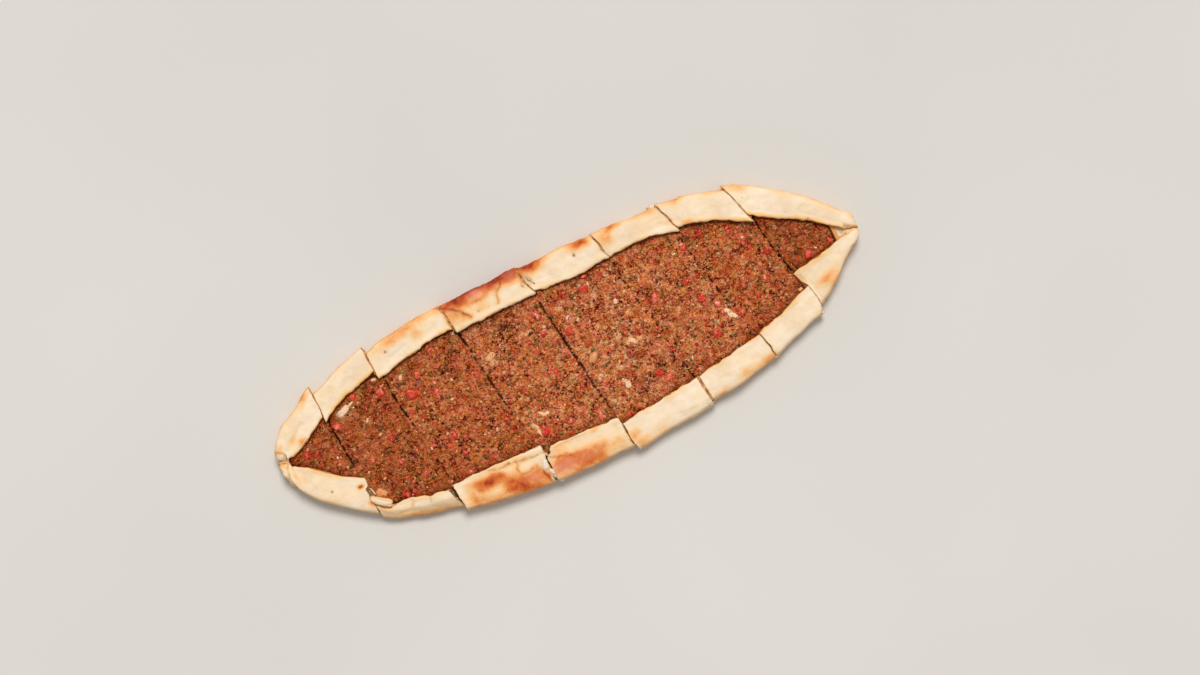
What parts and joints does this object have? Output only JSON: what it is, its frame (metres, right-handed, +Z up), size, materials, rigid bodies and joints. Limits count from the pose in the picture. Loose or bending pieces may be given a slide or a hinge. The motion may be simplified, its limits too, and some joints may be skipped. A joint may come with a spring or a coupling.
{
  "type": "minced meat pide",
  "caption": "Boat-shaped flatbread with a folded, browned rim around a layer of minced meat, cut across into slices that lie together.",
  "frame": {"origin": "on the table under the middle of the bread's outline", "axes": "+X along the bread from its left tip to its right tip, +Y across it to the far rim, +Z up"},
  "size_m": [0.4508, 0.1612, 0.0149],
  "materials": {
    "crust": "matte",
    "filling": "matte"
  },
  "bodies": {
    "root": {"crust_1": "crust", "crust_2": "crust", "crust_3": "crust", "crust_4": "crust", "crust_5": "crust", "crust_6": "crust", "crust_7": "crust", "crust_8": "crust", "filling_1": "filling", "filling_2": "filling", "filling_3": "filling", "filling_4": "filling", "filling_5": "filling", "filling_6": "filling", "filling_7": "filling", "filling_8": "filling"}
  },
  "joints": []
}
